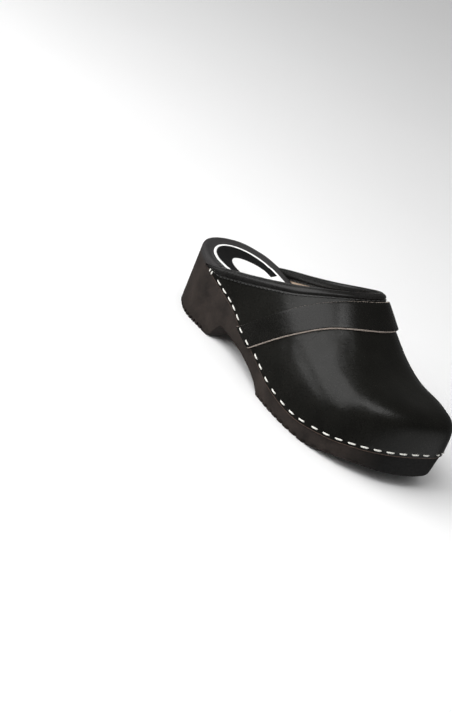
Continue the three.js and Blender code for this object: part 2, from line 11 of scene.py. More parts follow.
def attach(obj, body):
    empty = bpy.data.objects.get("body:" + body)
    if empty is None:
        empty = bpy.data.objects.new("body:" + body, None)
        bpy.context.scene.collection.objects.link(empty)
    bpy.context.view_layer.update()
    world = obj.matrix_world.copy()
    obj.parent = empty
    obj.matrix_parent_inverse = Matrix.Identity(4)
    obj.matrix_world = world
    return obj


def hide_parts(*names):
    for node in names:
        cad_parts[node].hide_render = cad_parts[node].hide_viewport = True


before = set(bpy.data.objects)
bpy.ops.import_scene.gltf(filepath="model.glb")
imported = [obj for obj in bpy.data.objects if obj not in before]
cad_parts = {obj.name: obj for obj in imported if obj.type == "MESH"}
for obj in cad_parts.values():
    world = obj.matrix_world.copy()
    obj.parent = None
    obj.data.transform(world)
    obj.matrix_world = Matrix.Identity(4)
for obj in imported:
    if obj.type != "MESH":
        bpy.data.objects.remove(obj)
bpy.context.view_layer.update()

# Sizes are in millimetres from the back of the heel, as in the part's source. SHIFT brings them
# into the frame, whose origin lies under the middle of the clog.
SHIFT = np.array([-129.6, 1.6233, 0.0])
MM = 0.001

LENGTH = 258.0
BALL_WIDTH = 96.0
HEEL_HEIGHT = 51.0
INSTEP_HEIGHT = 98.0

LEATHER = 2.4
OVERHANG = 1.2
GAP = 0.3
ROLL_HEIGHT = 6.6
ROLL_THICKNESS = 5.6
STRAP_THICKNESS = 2.2

SIDE_DRAFT = 0.6
TOE_DRAFT = 1.8
EDGE_ROUND = 1.0
TOE_ROUND = 2.8
RIM_ROUND = 3.2
HEEL_CUP = 5.0
FOOTBED_ROUND = 0.33
RIM_SHARE = 0.19

OUTLINE = (
    # at, outer, inner
    (0.047, 0.227, 0.259),
    (0.136, 0.332, 0.328),
    (0.271, 0.350, 0.318),
    (0.388, 0.393, 0.309),
    (0.504, 0.458, 0.366),
    (0.620, 0.511, 0.465),
    (0.717, 0.517, 0.485),
    (0.814, 0.474, 0.481),
    (0.891, 0.379, 0.426),
    (0.953, 0.233, 0.330),
    (0.981, 0.100, 0.277),
)
TOE_SHIFT = 0.141
TOE_BEND_AT = 0.581

UNDERSIDE = (
    (0.000, 0.039), (0.020, 0.000), (0.230, 0.000), (0.279, 0.288), (0.357, 0.269),
    (0.450, 0.200), (0.533, 0.024), (0.536, 0.000), (0.756, 0.000), (0.833, 0.084),
    (0.911, 0.155), (0.957, 0.172), (1.000, 0.176),
)
FEATHER = (
    (0.085, 0.922), (0.136, 0.847), (0.213, 0.745), (0.291, 0.651), (0.368, 0.514),
    (0.465, 0.410), (0.581, 0.273), (0.698, 0.224), (0.814, 0.296), (0.911, 0.406),
    (1.000, 0.537),
)
RIM = (
    (0.000, 1.000), (0.174, 1.000), (0.233, 0.984), (0.310, 0.914), (0.368, 0.828),
    (0.465, 0.690), (0.581, 0.565), (0.698, 0.510), (0.814, 0.549), (0.911, 0.640),
    (1.000, 0.730),
)
CREST = (
    (0.233, 1.437), (0.388, 1.305), (0.484, 1.191), (0.543, 1.105), (0.601, 1.002),
    (0.678, 0.841), (0.756, 0.699), (0.833, 0.618), (0.911, 0.592), (1.000, 0.580),
)
TOP_LINE = (
    (0.126, 0.448), (0.194, 0.528), (0.314, 0.652), (0.438, 0.789), (0.545, 0.914),
    (0.660, 1.040),
)
SECTION = (
    # at, outer power, inner power, across
    (0.233, 2.0, 2.0, 0.000),
    (0.581, 1.8, 1.8, 0.111),
    (0.660, 2.0, 1.9, 0.111),
    (0.760, 2.7, 2.0, 0.111),
    (0.833, 3.4, 2.2, 0.111),
    (0.911, 4.0, 2.9, 0.111),
    (1.000, 4.5, 4.5, 0.110),
)

FAN_START = 0.756 * LENGTH
FAN_CENTRE = 0.891 * LENGTH
TIP_AT = 0.126 * LENGTH
LEATHER_FROM = TIP_AT + 1.0
LEDGE_AT_HEEL = 0.05
ROLL_GROWS = 0.085 * LENGTH
ROLL_SHRINKS_FROM = 0.465 * LENGTH
ROLL_AT_THROAT = 0.65

STRAP_WIDTH_LOW = 21.0
STRAP_WIDTH_TOP = 17.3
STRAP_FOOT = 0.354 * LENGTH
STRAP_FROM_THROAT = 5.4

LABEL_FROM = 0.044 * LENGTH
LABEL_TO = 0.415 * LENGTH
LABEL_INSET = 8.8
LABEL_END = 0.105 * LENGTH

GROOVE_DEPTH = 3.0
TREAD_PITCH = 5.0
TREAD_GROOVE = 2.4
TREAD_FROM = 0.552 * LENGTH
TREAD_TO = 0.911 * LENGTH
HEEL_PITCH = 4.6
HEEL_GROOVE = 2.0
HEEL_FROM = 0.026 * LENGTH
HEEL_TO = 0.213 * LENGTH
ZIGZAG_ACROSS = 0.055 * BALL_WIDTH
ZIGZAG_SWING = 4.0
ZIGZAG_LENGTH = 21.0
PATCH_RADIUS = 15.0
PATCH_AT = 0.837 * LENGTH
PATCH_ACROSS = 0.042 * BALL_WIDTH
TOE_RIBS_FROM = 238.4
TOE_RIB_PITCH = 2.1
TOE_RIB_GROOVE = 0.9
TOE_RIB_DEPTH = 0.8

OUTER = -1
INNER = 1
QUARTER = math.pi / 2


# Shape of the last


def mix(a, b, share):
    return a + (b - a) * share


def smoothstep(value):
    share = np.clip(value, 0, 1)
    return share * share * (3 - 2 * share)


def end_slope(h0, h1, d0, d1):
    slope = ((2 * h0 + h1) * d0 - h0 * d1) / (h0 + h1)
    if slope * d0 <= 0:
        return 0.0
    if d0 * d1 <= 0 and abs(slope) > 3 * abs(d0):
        return 3 * d0
    return slope


def monotone(xs, ys):
    """Monotone cubic through points, held level past its ends."""
    xs = np.asarray(xs, float)
    ys = np.asarray(ys, float)
    steps = np.diff(xs)
    rises = np.diff(ys) / steps
    slopes = np.zeros(len(xs))
    slopes[0] = end_slope(steps[0], steps[1], rises[0], rises[1])
    slopes[-1] = end_slope(steps[-1], steps[-2], rises[-1], rises[-2])
    for i in range(1, len(xs) - 1):
        if rises[i - 1] * rises[i] > 0:
            before = 2 * steps[i] + steps[i - 1]
            after = steps[i] + 2 * steps[i - 1]
            slopes[i] = (before + after) / (before / rises[i - 1] + after / rises[i])

    def at(value):
        x = np.clip(value, xs[0], xs[-1])
        i = np.clip(np.searchsorted(xs, x) - 1, 0, len(steps) - 1)
        share = (x - xs[i]) / steps[i]
        bend = slopes[i] * (1 - share) - slopes[i + 1] * share
        chord = rises[i] * (1 - 2 * share)
        return mix(ys[i], ys[i + 1], share) + share * (1 - share) * steps[i] * (bend - chord)

    return at


def column(rows, unit):
    return monotone([row[0] * LENGTH for row in rows], [row[1] * unit for row in rows])


underside_at = column(UNDERSIDE, HEEL_HEIGHT)
feather_at = column(FEATHER, HEEL_HEIGHT)
rim_at = column(RIM, HEEL_HEIGHT)
crest_at = column(CREST, INSTEP_HEIGHT)
top_line_at = column(TOP_LINE, INSTEP_HEIGHT)
across_at = column([(row[0], row[3]) for row in SECTION], BALL_WIDTH)
POWERS = {
    OUTER: column([(row[0], row[1]) for row in SECTION], 1.0),
    INNER: column([(row[0], row[2]) for row in SECTION], 1.0),
}


def middle_at(x):
    """Middle line of the sole seen from above."""
    bend = np.clip((x / LENGTH - TOE_BEND_AT) / (1 - TOE_BEND_AT), 0, 1)
    return TOE_SHIFT * BALL_WIDTH * bend * bend


def squared_widths(side, index):
    xs = [row[0] * LENGTH for row in OUTLINE]
    squares = [(row[index] * BALL_WIDTH - side * middle_at(x)) ** 2 for row, x in zip(OUTLINE, xs)]
    return monotone([0, *xs, LENGTH], [0, *squares, 0])


squared_width = {OUTER: squared_widths(OUTER, 1), INNER: squared_widths(INNER, 2)}


def outline_point(side, t, out):
    """x and y of the outline at station t, moved out by a distance."""
    width = np.sqrt(np.maximum(0, squared_width[side](t))) * (1 + 2 * out / BALL_WIDTH)
    return t * (1 + 2 * out / LENGTH) - out, middle_at(t) + side * width


def station_at(x):
    return np.clip((x + OVERHANG) / (1 + 2 * OVERHANG / LENGTH), 0, LENGTH)


def spine_x(x):
    reach = FAN_CENTRE - FAN_START
    fanned = FAN_START + reach * np.tanh((x - FAN_START) / reach)
    return np.where(x < FAN_START, x, fanned)


def skin(side, t, angle):
    """Outer skin of the upper: angle 0 at the feather line, QUARTER at the crest."""
    t, angle = np.broadcast_arrays(np.asarray(t, float), np.asarray(angle, float))
    x, y = outline_point(side, t, OVERHANG)
    top_x = spine_x(x)
    power = 2 / POWERS[side](x)
    inward = 1 - np.maximum(0, np.cos(angle)) ** power
    rise = np.maximum(0, np.sin(angle)) ** power
    px = mix(x, top_x, inward)
    py = mix(y, across_at(top_x), inward)
    pz = mix(feather_at(x), crest_at(px), rise)
    return np.stack([px, py, pz], axis=-1)


def unit(vectors):
    return vectors / np.maximum(1e-12, np.linalg.norm(vectors, axis=-1, keepdims=True))


def side_normal(side, t, angle):
    step_t = 0.1
    step_a = 0.005
    st = np.clip(t, 2 * step_t, LENGTH - 2 * step_t)
    sa = np.clip(angle, 2 * step_a, QUARTER - 2 * step_a)
    along = skin(side, st + step_t, sa) - skin(side, st - step_t, sa)
    up = skin(side, st, sa + step_a) - skin(side, st, sa - step_a)
    return unit(np.cross(along, up) * -side)


def skin_normal(side, t, angle):
    """Normal of the skin, the same from both sides on the crest and at the toe tip."""
    t, angle = np.broadcast_arrays(np.asarray(t, float), np.asarray(angle, float))
    normal = side_normal(side, t, angle)
    both = unit(normal + side_normal(-side, t, angle))
    on_seam = (angle > QUARTER - 1e-6) | (t > LENGTH - 1e-6)
    return np.where(on_seam[..., None], both, normal)


def off_skin(side, t, angle, out):
    return skin(side, t, angle) + skin_normal(side, t, angle) * np.asarray(out)[..., None]


def angle_at(side, x, z):
    """Angle at which the skin at x has height z."""
    share = np.clip((z - feather_at(x)) / (crest_at(x) - feather_at(x)), 0, 1)
    return np.arcsin(share ** (POWERS[side](x) / 2))


def crossing(gap, low, high):
    """Place between low and high where a rising function passes zero."""
    low = np.asarray(low, float)
    high = np.asarray(high, float)
    for _ in range(45):
        middle = (low + high) / 2
        below = gap(middle) < 0
        low = np.where(below, middle, low)
        high = np.where(below, high, middle)
    return (low + high) / 2


throat = float(crossing(lambda x: top_line_at(x) - crest_at(x), TIP_AT, FAN_START))


def roll_at(x):
    """Height of the roll over the edge of the leather."""
    grown = smoothstep((x - TIP_AT) / ROLL_GROWS)
    shrunk = smoothstep((x - ROLL_SHRINKS_FROM) / (throat - ROLL_SHRINKS_FROM))
    return ROLL_HEIGHT * grown * mix(1, ROLL_AT_THROAT, shrunk)


def leather_top_at(x):
    return top_line_at(x) - roll_at(x)


# Meshes


def sheet(points, material=0, close_rows=False, close_columns=False):
    """Quads over a grid of points."""
    rows, columns = points.shape[:2]
    last_row = rows if close_rows else rows - 1
    last_column = columns if close_columns else columns - 1
    i, j = np.meshgrid(np.arange(last_row), np.arange(last_column), indexing="ij")
    a = i * columns + j
    b = i * columns + (j + 1) % columns
    c = (i + 1) % rows * columns + (j + 1) % columns
    d = (i + 1) % rows * columns + j
    quads = np.stack([a, b, c, d], axis=-1).reshape(-1, 4)
    return points.reshape(-1, 3), quads, material


def fan(ring, material=0, tip=None):
    """Cap over a closed ring of points, with its middle at the tip if there is one."""
    count = len(ring)
    points = np.vstack([ring, ring.mean(axis=0) if tip is None else tip])
    triangles = [(i, (i + 1) % count, count) for i in range(count)]
    return points, np.array(triangles), material


def make_mesh(name, parts, merge=0.004):
    """Mesh from parts given in millimetres. Points closer than the merge distance become one."""
    points = []
    faces = []
    materials = []
    start = 0
    for part_points, part_faces, material in parts:
        points.append(part_points)
        faces += [[int(i) + start for i in face] for face in part_faces]
        materials += [material] * len(part_faces)
        start += len(part_points)
    places = (np.vstack(points) + SHIFT) * MM
    mesh = bpy.data.meshes.new(name)
    mesh.from_pydata(places.tolist(), [], faces)
    mesh.polygons.foreach_set("material_index", materials)
    solid = bmesh.new()
    solid.from_mesh(mesh)
    if merge > 0:
        bmesh.ops.remove_doubles(solid, verts=solid.verts, dist=merge * MM)
        bmesh.ops.dissolve_degenerate(solid, edges=solid.edges, dist=merge * MM * 0.1)
    bmesh.ops.recalc_face_normals(solid, faces=solid.faces)
    solid.to_mesh(mesh)
    solid.free()
    return mesh


def new_object(name, data):
    made = bpy.data.objects.new(name, data)
    bpy.context.scene.collection.objects.link(made)
    return made


def add_piece(name, mesh, materials, sharp=None, body="root"):
    """Object on a body, smooth apart from edges sharper than an angle in degrees."""
    piece = new_object(name, mesh)
    for material in materials:
        mesh.materials.append(material)
    mesh.polygons.foreach_set("use_smooth", [True] * len(mesh.polygons))
    if sharp is not None:
        mesh.set_sharp_from_angle(angle=math.radians(sharp))
    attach(piece, body)
    return piece


# Materials

RIM_TONE_FROM = 43.0
RIM_TONE_TO = 46.5
# Painted shade: between these two x the sole darkens to near black towards the toe
TOE_SHADE_FROM = 226.0
TOE_SHADE_TO = 246.0


class Nodes:
    """Short hand for a material's nodes."""

    def __init__(self, name):
        self.material = bpy.data.materials.new(name)
        self.material.use_nodes = True
        self.tree = self.material.node_tree
        self.shader = self.tree.nodes["Principled BSDF"]
        self.place = self.add("ShaderNodeTexCoord").outputs["Object"]

    def add(self, kind, **values):
        node = self.tree.nodes.new(kind)
        for name, value in values.items():
            setattr(node, name, value)
        return node

    def link(self, source, target):
        self.tree.links.new(source, target)

    def set(self, **values):
        for name, value in values.items():
            self.shader.inputs[name.replace("_", " ")].default_value = value

    def noise(self, size_mm, detail=3.0, rough=0.55, distortion=0.0):
        node = self.add("ShaderNodeTexNoise")
        node.inputs["Scale"].default_value = 1000.0 / size_mm
        node.inputs["Detail"].default_value = detail
        node.inputs["Roughness"].default_value = rough
        node.inputs["Distortion"].default_value = distortion
        self.link(self.place, node.inputs["Vector"])
        return node.outputs["Fac"]

    def cells(self, size_mm, feature="SMOOTH_F1"):
        node = self.add("ShaderNodeTexVoronoi", feature=feature)
        node.inputs["Scale"].default_value = 1000.0 / size_mm
        self.link(self.place, node.inputs["Vector"])
        return node.outputs["Distance"]

    def axis(self, name):
        """Place along one axis of the frame, in metres."""
        node = self.add("ShaderNodeSeparateXYZ")
        self.link(self.place, node.inputs["Vector"])
        return node.outputs[name]

    def spread(self, value, low, high, to_low, to_high):
        node = self.add("ShaderNodeMapRange")
        for name, number in zip(("From Min", "From Max", "To Min", "To Max"), (low, high, to_low, to_high)):
            node.inputs[name].default_value = number
        self.link(value, node.inputs["Value"])
        return node.outputs["Result"]

    def math(self, operation, a, b):
        node = self.add("ShaderNodeMath", operation=operation)
        for socket, value in zip(node.inputs, (a, b)):
            if isinstance(value, (int, float)):
                socket.default_value = value
            else:
                self.link(value, socket)
        return node.outputs["Value"]

    def blend(self, share, dark, light):
        node = self.add("ShaderNodeMix", data_type="RGBA")
        for name, value in (("A", dark), ("B", light)):
            socket = [s for s in node.inputs if s.name == name and s.type == "RGBA"][0]
            if isinstance(value, tuple):
                socket.default_value = (*value, 1.0)
            else:
                self.link(value, socket)
        self.link(share, node.inputs["Factor"])
        return [s for s in node.outputs if s.type == "RGBA"][0]

    def colour(self, socket):
        self.link(socket, self.shader.inputs["Base Color"])

    def roughness(self, socket):
        self.link(socket, self.shader.inputs["Roughness"])

    def bump(self, height, depth_mm, strength=1.0):
        node = self.add("ShaderNodeBump")
        node.inputs["Distance"].default_value = depth_mm * MM
        node.inputs["Strength"].default_value = strength
        self.link(height, node.inputs["Height"])
        before = self.shader.inputs["Normal"]
        if before.is_linked:
            self.link(before.links[0].from_socket, node.inputs["Normal"])
        self.link(node.outputs["Normal"], before)


def leather(name, dark, light, roughness, grain):
    nodes = Nodes(name)
    patches = nodes.noise(22.0, detail=2.0)
    nodes.colour(nodes.blend(nodes.spread(patches, 0.35, 0.65, 0, 1), dark, light))
    fine = nodes.noise(1.6, detail=4.0, rough=0.6)
    nodes.roughness(nodes.spread(fine, 0.3, 0.7, roughness - 0.05, roughness + 0.06))
    nodes.bump(nodes.cells(0.9), grain * 0.45)
    nodes.bump(nodes.noise(2.4, detail=3.0, rough=0.5, distortion=0.6), grain * 1.7)
    nodes.bump(nodes.noise(15.0, detail=1.0), 0.22)
    nodes.set(Specular_IOR_Level=0.20)
    return nodes.material


def fibrous(name, dark, light, size_mm, depth_mm, roughness, detail=4.0):
    """Fibres of a thread, or of a cut edge of leather."""
    nodes = Nodes(name)
    fibres = nodes.noise(size_mm, detail=detail, rough=0.7)
    nodes.colour(nodes.blend(nodes.spread(fibres, 0.3, 0.7, 0, 1), dark, light))
    nodes.bump(fibres, depth_mm)
    nodes.set(Roughness=roughness)
    return nodes.material


def lining(name, dark, light):
    nodes = Nodes(name)
    patches = nodes.noise(9.0, detail=3.0)
    nodes.colour(nodes.blend(nodes.spread(patches, 0.3, 0.7, 0, 1), dark, light))
    nodes.bump(nodes.noise(0.7, detail=4.0, rough=0.7), 0.06)
    nodes.set(Roughness=0.78)
    return nodes.material


def moulded(name, dark, light, rim_colour, toe_shade_colour):
    """Moulded foam: mottled, plainer along the rim of the heel seat, and darkened towards the toe by painted
    shade.
    """
    nodes = Nodes(name)
    clouds = nodes.noise(16.0, detail=4.0, rough=0.62)
    speckle = nodes.noise(1.5, detail=4.0, rough=0.7)
    share = nodes.math("ADD", nodes.math("MULTIPLY", clouds, 0.6), nodes.math("MULTIPLY", speckle, 0.4))
    body = nodes.blend(nodes.spread(share, 0.36, 0.64, 0, 1), dark, light)
    rim = nodes.spread(nodes.axis("Z"), RIM_TONE_FROM * MM, RIM_TONE_TO * MM, 0, 1)
    body = nodes.blend(rim, body, rim_colour)
    # painted shade: near black towards the toe
    toe_from, toe_to = ((x + SHIFT[0]) * MM for x in (TOE_SHADE_FROM, TOE_SHADE_TO))
    toe = nodes.spread(nodes.axis("X"), toe_from, toe_to, 0, 1)
    nodes.colour(nodes.blend(toe, body, toe_shade_colour))
    nodes.roughness(nodes.spread(speckle, 0.3, 0.7, 0.58, 0.78))
    nodes.bump(speckle, 0.09)
    nodes.bump(nodes.noise(0.45, detail=2.0), 0.03)
    nodes.set(Specular_IOR_Level=0.22)
    return nodes.material


def printed(name, dark, light):
    """Smooth print on a thin woven label."""
    nodes = Nodes(name)
    weave = nodes.cells(0.5, feature="F1")
    tone = nodes.noise(6.0, detail=3.0)
    nodes.colour(nodes.blend(nodes.spread(tone, 0.3, 0.7, 0, 1), dark, light))
    nodes.bump(weave, 0.02)
    nodes.set(Roughness=0.5, Specular_IOR_Level=0.12)
    return nodes.material


def floor_material(name):
    nodes = Nodes(name)
    tone = nodes.noise(300.0, detail=2.0)
    nodes.colour(nodes.blend(tone, (0.86, 0.86, 0.86), (0.90, 0.90, 0.90)))
    nodes.set(Roughness=0.9, Specular_IOR_Level=0.1)
    return nodes.material


BLACK_LEATHER = leather("black_leather", (0.0046, 0.0045, 0.0036), (0.0068, 0.0066, 0.0054), 0.30, 0.06)
STRAP_LEATHER = leather("strap_leather", (0.0048, 0.0046, 0.0039), (0.0070, 0.0067, 0.0058), 0.26, 0.03)
SOFT_LEATHER = leather("soft_leather", (0.0075, 0.0072, 0.0068), (0.0115, 0.0110, 0.0105), 0.29, 0.04)
# Tan cut edge of the strap; on the rounded bevel above its rear edge the tan is a painted highlight
TAN_EDGE_AND_HIGHLIGHT = fibrous("tan_edge_and_highlight", (0.34, 0.28, 0.24), (0.58, 0.50, 0.44), 0.9, 0.08, 0.85, detail=5.0)
BROWN_EDGE = fibrous("brown_edge", (0.045, 0.026, 0.019), (0.10, 0.062, 0.046), 0.9, 0.08, 0.85, detail=5.0)
WHITE_THREAD = fibrous("white_thread", (0.62, 0.61, 0.56), (0.80, 0.79, 0.75), 0.35, 0.05, 0.5)
# Black seam thread painted dark grey rather than black: a painted highlight where the stitches catch the
# light
BLACK_THREAD_AND_HIGHLIGHT = fibrous("black_thread_and_highlight", (0.020, 0.020, 0.020), (0.048, 0.048, 0.045), 0.35, 0.05, 0.42)
LINING = lining("tan_lining", (0.50, 0.37, 0.27), (0.60, 0.46, 0.35))
MOULDED = moulded(
    "moulded_foam",
    dark=(0.011, 0.0086, 0.0074),
    light=(0.034, 0.0255, 0.0215),
    rim_colour=(0.030, 0.0285, 0.0285),
    # near black painted shade at the toe
    toe_shade_colour=(0.0022, 0.0020, 0.0018),
)
WHITE_PRINT = printed("white_print", (0.80, 0.80, 0.79), (0.88, 0.88, 0.87))
BLACK_PRINT = printed("black_print", (0.0045, 0.0045, 0.0045), (0.0075, 0.0075, 0.0075))


# Stitches that hold the leather to the sole

STITCH_UP = 2.9  # above the edge of the leather
STITCH_PITCH = 9.6
STITCH_LENGTH = 6.2
STITCH_WIDTH = 1.3
STITCH_HEIGHT = 0.75
STITCH_LIFT = 0.28
STITCH_SUNK = 0.45
TACK_AT = 39.6
TACK_APART = 2.7
TACK_LOW = -0.7
TACK_HIGH = 4.0
FIRST_STITCH = 53.6
DENT = 0.42
DENT_REACH = 1.25

# Middles of the outer stitches, as in the photo: x of each one along the edge
OUTER_STITCHES = (
    53.6, 62.0, 70.6, 78.2, 86.3, 98.3, 110.3, 123.6, 132.8, 144.5, 156.8, 169.0, 179.8,
    190.3, 202.0, 211.5, 220.6, 228.8, 236.2, 242.8, 248.5, 252.9, 256.3, 258.4,
)


def path_lengths(points):
    steps = np.linalg.norm(np.diff(points, axis=0), axis=1)
    return np.concatenate([[0], np.cumsum(steps)])


def height_angle(side, t, height):
    """Angle at which the skin lies at a height over the edge of the leather."""
    x = outline_point(side, t, OVERHANG)[0]
    return angle_at(side, x, feather_at(x) + height)


def stitch_line(side, samples=3000):
    """Stations, angles and x along the line of stitches, and the length of the line up to each."""
    t = station_at(np.linspace(FIRST_STITCH - STITCH_LENGTH, LENGTH + OVERHANG, samples))
    angle = height_angle(side, t, STITCH_UP)
    points = skin(side, t, angle)
    return t, angle, points[:, 0], path_lengths(points)


def stitch_ends():
    """Station, angle and side of both ends of every stitch round the shoe."""
    ends = []
    for side in (OUTER, INNER):
        t, angle, x, lengths = stitch_line(side)
        if side == OUTER:
            middles = np.interp(OUTER_STITCHES, x, lengths)
            from_toe = STITCH_PITCH - (lengths[-1] - middles[-1])
        else:
            middles = np.arange(lengths[-1] - from_toe, STITCH_LENGTH, -STITCH_PITCH)
        for middle in middles:
            places = np.array([middle - STITCH_LENGTH / 2, middle + STITCH_LENGTH / 2])
            stations = np.interp(places, lengths, t)
            angles = np.interp(places, lengths, angle)
            ends.append([(side, float(s), float(a)) for s, a in zip(stations, angles)])
    return ends


def tack_ends():
    """Two stitches side by side across the edge at each rear tip."""
    ends = []
    for side in (OUTER, INNER):
        for x in (TACK_AT, TACK_AT + TACK_APART):
            t = float(station_at(x))
            low = float(height_angle(side, t, TACK_LOW))
            high = float(height_angle(side, t + 0.8, TACK_HIGH))
            ends.append([(side, t, low), (side, t + 0.8, high)])
    return ends


STITCHES = stitch_ends()
TACKS = tack_ends()
HOLES = [skin(*end) for pair in STITCHES + TACKS for end in pair]


def dented(side, t, angle):
    """How deep the thread pulls the leather in near the stitch holes."""
    points = skin(side, t, angle)
    depth = np.zeros(points.shape[:-1])
    for hole in HOLES:
        apart = np.sum((points - hole) ** 2, axis=-1)
        depth = np.maximum(depth, np.exp(-apart / DENT_REACH**2))
    return -DENT * depth


# Soft troughs and ridges in the leather, listed one by one: x of the middle, height there as a share of
# the way from the edge to the crest, direction in degrees from level, half length, width and depth
CREASES = {
    OUTER: (
        (61.0, 0.62, 24.0, 13.0, 2.6, 0.30),
        (70.0, 0.44, 34.0, 10.0, 3.0, 0.22),
        (84.0, 0.72, 18.0, 16.0, 3.4, 0.28),
        (98.0, 0.84, 20.0, 14.0, 2.8, 0.22),
        (136.0, 0.42, 52.0, 20.0, 6.5, 0.34),
        (158.0, 0.60, 28.0, 22.0, 6.0, 0.30),
        (176.0, 0.46, 16.0, 24.0, 5.5, 0.26),
        (196.0, 0.70, 8.0, 20.0, 5.0, 0.24),
        (216.0, 0.42, -6.0, 18.0, 4.5, 0.20),
        (182.0, 0.86, 62.0, 14.0, 5.5, 0.26),
        (224.0, 0.88, 70.0, 12.0, 5.0, 0.18),
    ),
    INNER: (
        (60.0, 0.58, 26.0, 13.0, 2.8, 0.30),
        (74.0, 0.40, 32.0, 11.0, 3.2, 0.24),
        (90.0, 0.74, 18.0, 15.0, 3.2, 0.26),
        (138.0, 0.44, 50.0, 18.0, 6.5, 0.32),
        (164.0, 0.52, 26.0, 22.0, 6.0, 0.30),
        (192.0, 0.66, 10.0, 20.0, 5.0, 0.24),
        (218.0, 0.46, -4.0, 16.0, 4.5, 0.20),
    ),
}


CREASE_FALL = 1.6


def creased(side, t, angle):
    """Troughs with a soft ridge along both sides, fading out at their ends."""
    points = skin(side, t, angle)
    depth = np.zeros(points.shape[:-1])
    for x, share, degrees, half_length, width, deep in CREASES[side]:
        place = float(station_at(x))
        height = share * float(crest_at(x) - feather_at(x))
        place_angle = float(height_angle(side, place, height))
        centre = skin(side, place, place_angle)
        normal = skin_normal(side, place, place_angle)
        level = unit(np.cross(normal, (0.0, 0.0, 1.0)) * -side)
        upward = unit(np.cross(level, normal) * -side)
        tilt = math.radians(degrees)
        along = level * math.cos(tilt) + upward * math.sin(tilt)
        apart = points - centre
        run = apart @ along
        cross = np.linalg.norm(apart - run[..., None] * along, axis=-1) / width
        bent = CREASE_FALL * cross**2
        depth += deep * (bent - 1) * np.exp(-bent - (run / half_length) ** 2)
    return depth


def strap_share(side, t, angle):
    """Place across the strap: 0 at its rear edge and 1 at its front edge."""
    x = skin(side, t, angle)[..., 0]
    share = np.sin(angle)
    rear = mix(STRAP_FOOT, throat + STRAP_FROM_THROAT, share)
    return (x - rear) / mix(STRAP_WIDTH_LOW, STRAP_WIDTH_TOP, share)


def within_strap(side, t, angle, beyond, fade):
    """1 from edge to edge of the strap, and 0 from a share of its width beyond them."""
    share = strap_share(side, t, angle)
    return smoothstep((share + beyond) / fade) * (1 - smoothstep((share - 1 - beyond + fade) / fade))


def under_strap(side, t, angle):
    return within_strap(side, t, angle, 0.25, 0.2)


def over_strap(side, t, angle):
    """Height that a stitch gains where it crosses the strap."""
    return within_strap(side, t, angle, 0.02, 0.04) * STRAP_THICKNESS


# Upper

UPPER_BEHIND = 90
UPPER_AHEAD = 130
UPPER_ROWS = 42
LOW_ROWS = 14
LOW_HEIGHT = 7.0
EDGE_PROFILE = (
    # out, height
    (0.00, 0.75),
    (-0.10, 0.32),
    (-0.34, 0.06),
    (-0.80, 0.00),
    (-1.90, 0.02),
    (-2.30, 0.25),
)


def upper_stations():
    behind = mix(LEATHER_FROM, throat, np.sin(np.linspace(0, 1, UPPER_BEHIND) * QUARTER))
    ahead = mix(throat, LENGTH + OVERHANG, np.sin(np.linspace(0, 1, UPPER_AHEAD) * QUARTER))
    return station_at(np.concatenate([behind, ahead[1:]]))


def leather_top_angle(side, t):
    x = outline_point(side, t, OVERHANG)[0]
    open_angle = angle_at(side, x, leather_top_at(x))
    return np.where(x < throat + 0.5, open_angle, QUARTER)


def upper_angles(side, t):
    """Angles of the rows at each station: close together near the stitches."""
    top = leather_top_angle(side, t)
    heights = np.linspace(EDGE_PROFILE[0][1], LOW_HEIGHT, LOW_ROWS)
    low = [np.minimum(height_angle(side, t, height), top * 0.9) for height in heights]
    rest = [mix(low[-1], top, share) for share in np.linspace(0, 1, UPPER_ROWS)[1:]]
    return np.stack([*low, *rest], axis=1)


def upper_parts():
    t = upper_stations()
    parts = []
    for side in (OUTER, INNER):
        angles = upper_angles(side, t)
        wide = np.broadcast_to(t[:, None], angles.shape)
        free = 1 - under_strap(side, wide, angles)
        outer = off_skin(side, wide, angles, dented(side, wide, angles) + free * creased(side, wide, angles))
        inner = off_skin(side, wide, angles, -LEATHER)
        edge = [outer[:, 0]]
        for out, height in EDGE_PROFILE[1:]:
            angle = height_angle(side, t, height)
            edge.append(off_skin(side, t, angle, out))
        edge.append(inner[:, 0])
        edge = np.stack(edge, axis=1)
        parts.append(sheet(outer, 0))
        parts.append(sheet(inner, 1))
        parts.append(sheet(edge[:, :3], 2))
        parts.append(sheet(edge[:, 2:], 2))
        opening = slice(UPPER_BEHIND + 1)
        parts.append(sheet(np.stack([outer[opening, -1], inner[opening, -1]], axis=1), 1))
        rear = np.stack([outer[0], inner[0]], axis=0)
        parts.append(sheet(rear, 2))
        parts.append(fan(edge[0], 2))
    return parts


def make_upper():
    mesh = make_mesh("upper_shell", upper_parts())
    piece = add_piece("upper_shell", mesh, (BLACK_LEATHER, LINING, BROWN_EDGE), 50)
    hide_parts("upper")
    return piece


# Roll along the top line

ROLL_STEPS = 260
SEAM_PITCH = 4.0
SEAM_STITCH = 2.9
SEAM_WIDTH = 0.7
SEAM_UP = -0.7
SEAM_OUT = 0.55
SEAM_LIFT = 0.12
PUCKER = 0.168
PUCKER_AT = 0.08
PUCKER_REACH = 0.16
ROLL_UNEVEN = 0.018
ROLL_THIN_END = 0.62  # share of its thickness at the rear tips
FLANGE_DEEP = 1.3  # how far the roll's slot reaches down over the leather
SLOT_TOP = 0.05
ROLL_PROFILE = (
    # out and height as shares of half the roll's thickness and of its height, and flange below in mm
    (0.46, 0.00, -1.35),
    (0.62, 0.00, -1.20),
    (0.66, 0.00, -0.70),
    (0.60, 0.00, -0.15),
    (0.56, 0.05, 0.00),
    (0.72, 0.11, 0.00),
    (0.88, 0.20, 0.00),
    (0.98, 0.33, 0.00),
    (1.00, 0.47, 0.00),
    (0.96, 0.61, 0.00),
    (0.85, 0.75, 0.00),
    (0.66, 0.87, 0.00),
    (0.40, 0.96, 0.00),
    (0.12, 1.00, 0.00),
)


